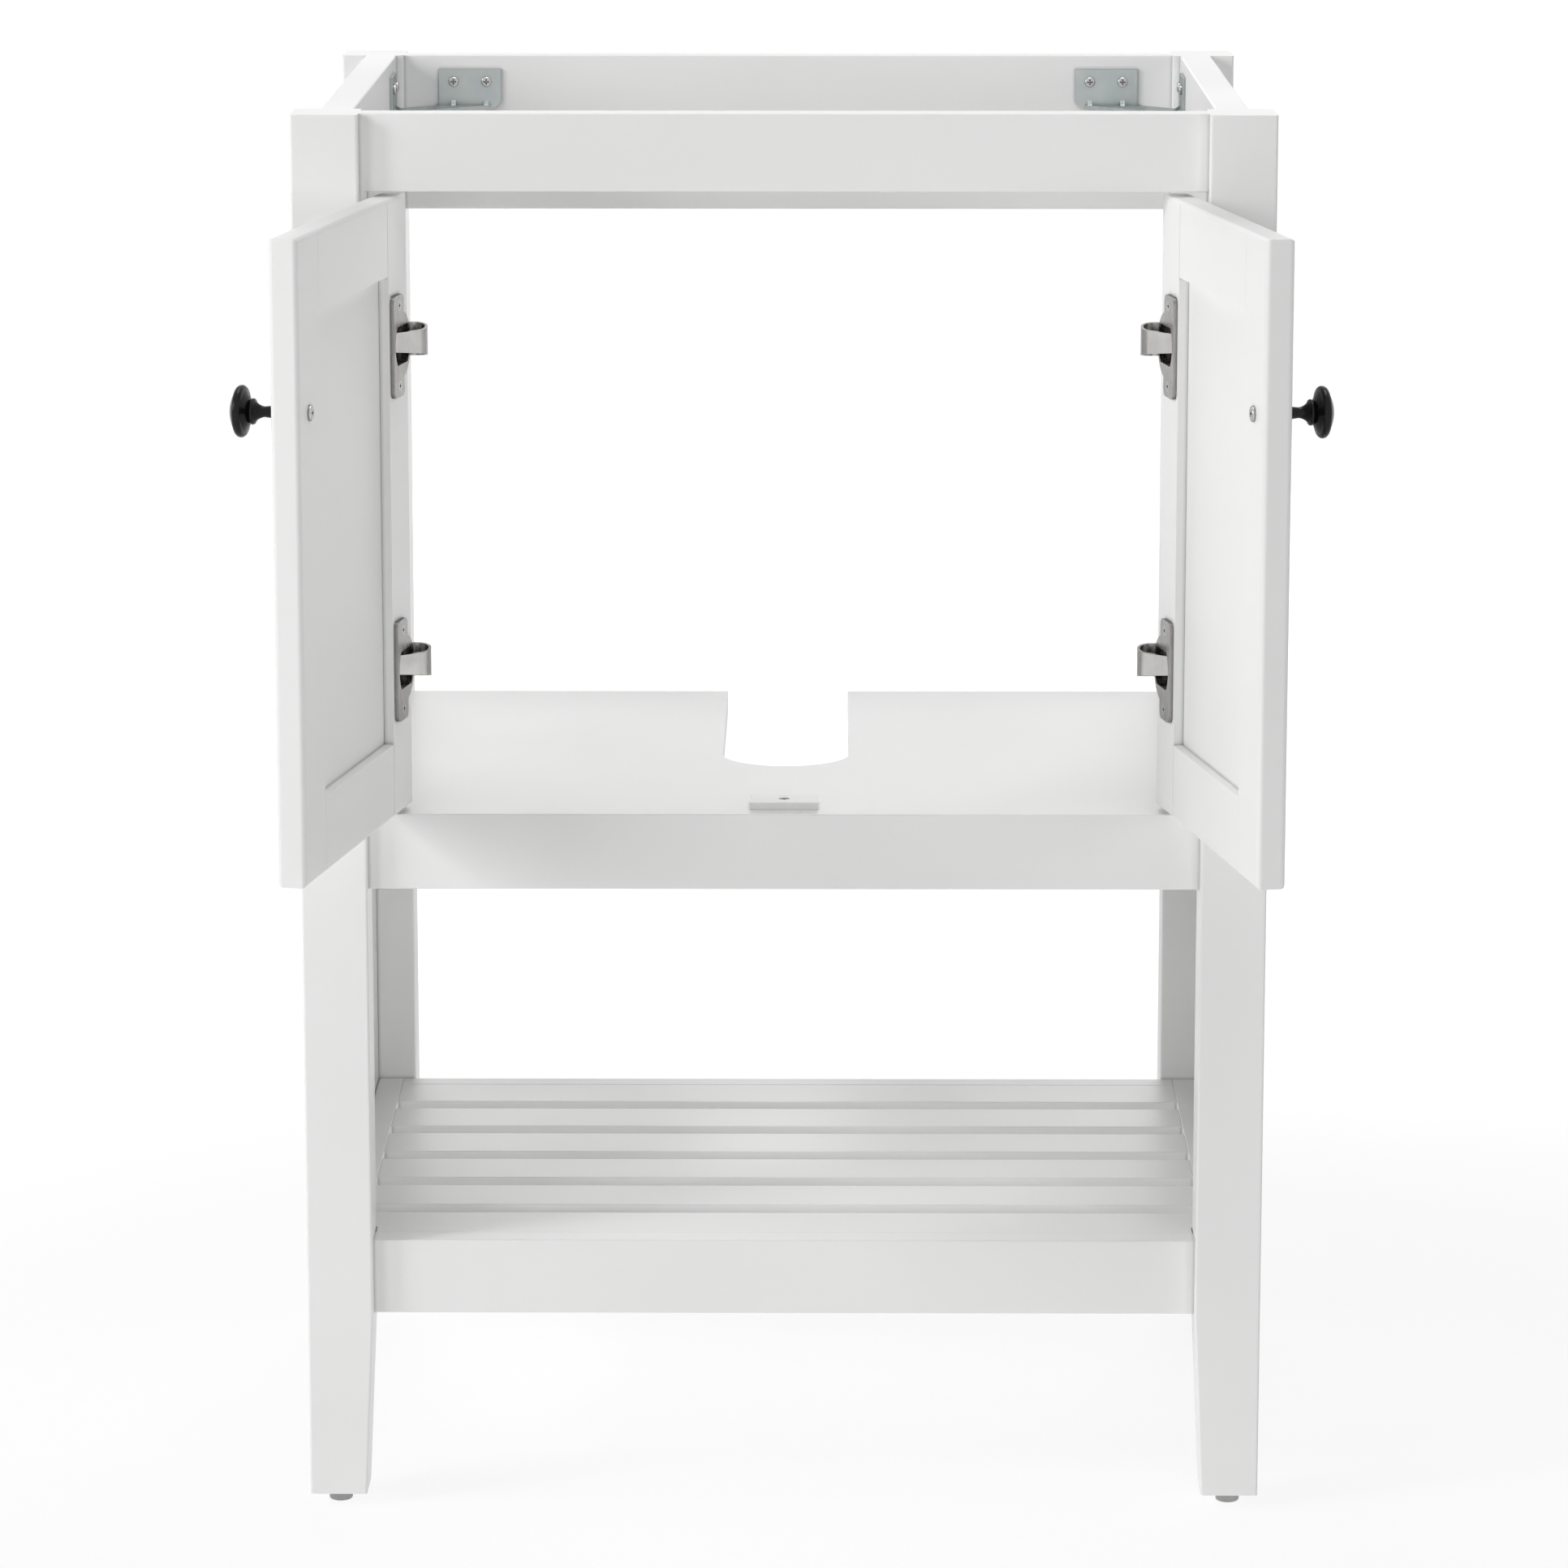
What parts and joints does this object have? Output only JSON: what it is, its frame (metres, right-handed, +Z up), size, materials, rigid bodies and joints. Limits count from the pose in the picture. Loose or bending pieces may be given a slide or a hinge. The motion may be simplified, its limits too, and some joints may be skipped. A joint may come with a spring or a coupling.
{
  "type": "bathroom vanity base",
  "caption": "Free-standing bathroom vanity base with an open top for a basin, hinged shaker doors, a floor notched for plumbing and a slatted lower shelf.",
  "frame": {"origin": "On the floor, under the middle of the cabinet between the outer faces of its four legs", "axes": "+X to the right seen from the front, +Y to the wall behind it, +Z up"},
  "size_m": [0.6246, 0.6714, 0.858],
  "materials": {
    "white_paint": "satin white paint on wood",
    "nickel": "bright nickel plate",
    "zinc": "dull zinc plate",
    "screw_steel": "plated steel",
    "black_enamel": "satin black",
    "glide_plastic": "grey moulded plastic",
    "stop_plastic": "white moulded plastic",
    "dowel_wood": "bare beech"
  },
  "bodies": {
    "carcass": {"corner_bracket_back_left": "zinc", "corner_bracket_back_right": "zinc", "corner_bracket_front_left": "zinc", "corner_bracket_front_right": "zinc", "door_stop": "stop_plastic", "dowels": "dowel_wood", "floor_cleat_left": "white_paint", "floor_cleat_right": "white_paint", "floor_front_rail": "white_paint", "floor_panel": "white_paint", "foot_glides": "glide_plastic", "hinge_arm_lower_left": "nickel", "hinge_arm_lower_right": "nickel", "hinge_arm_upper_left": "nickel", "hinge_arm_upper_right": "nickel", "leg_front_left": "white_paint", "leg_front_right": "white_paint", "leg_rear_left": "white_paint", "leg_rear_right": "white_paint", "shelf_back_rail": "white_paint", "shelf_front_rail": "white_paint", "shelf_side_rail_left": "white_paint", "shelf_side_rail_right": "white_paint", "shelf_slat_1": "white_paint", "shelf_slat_2": "white_paint", "shelf_slat_3": "white_paint", "shelf_slat_4": "white_paint", "shelf_slat_5": "white_paint", "shelf_slat_6": "white_paint", "side_panel_left": "white_paint", "side_panel_right": "white_paint", "top_back_rail": "white_paint", "top_front_rail": "white_paint", "top_side_rail_left": "white_paint", "top_side_rail_right": "white_paint", "wood_screws": "screw_steel"},
    "door_left": {"door_left_bottom_rail": "white_paint", "door_left_cup_screws": "screw_steel", "door_left_free_stile": "white_paint", "door_left_hinge_cup_lower": "nickel", "door_left_hinge_cup_upper": "nickel", "door_left_hinge_pins": "nickel", "door_left_hinge_stile": "white_paint", "door_left_knob": "black_enamel", "door_left_knob_screw": "screw_steel", "door_left_panel": "white_paint", "door_left_top_rail": "white_paint"},
    "door_right": {"door_right_bottom_rail": "white_paint", "door_right_cup_screws": "screw_steel", "door_right_free_stile": "white_paint", "door_right_hinge_cup_lower": "nickel", "door_right_hinge_cup_upper": "nickel", "door_right_hinge_pins": "nickel", "door_right_hinge_stile": "white_paint", "door_right_knob": "black_enamel", "door_right_knob_screw": "screw_steel", "door_right_panel": "white_paint", "door_right_top_rail": "white_paint"}
  },
  "joints": [
    {"name": "left_door", "type": "hinge", "parent": "carcass", "child": "door_left", "pos_m": [-0.235, -0.212, 0.623], "axis": [0, 0, -1], "range_deg": [-100.5, 4.5]},
    {"name": "right_door", "type": "hinge", "parent": "carcass", "child": "door_right", "pos_m": [0.235, -0.212, 0.623], "axis": [0, 0, 1], "range_deg": [-100.5, 4.5]}
  ]
}
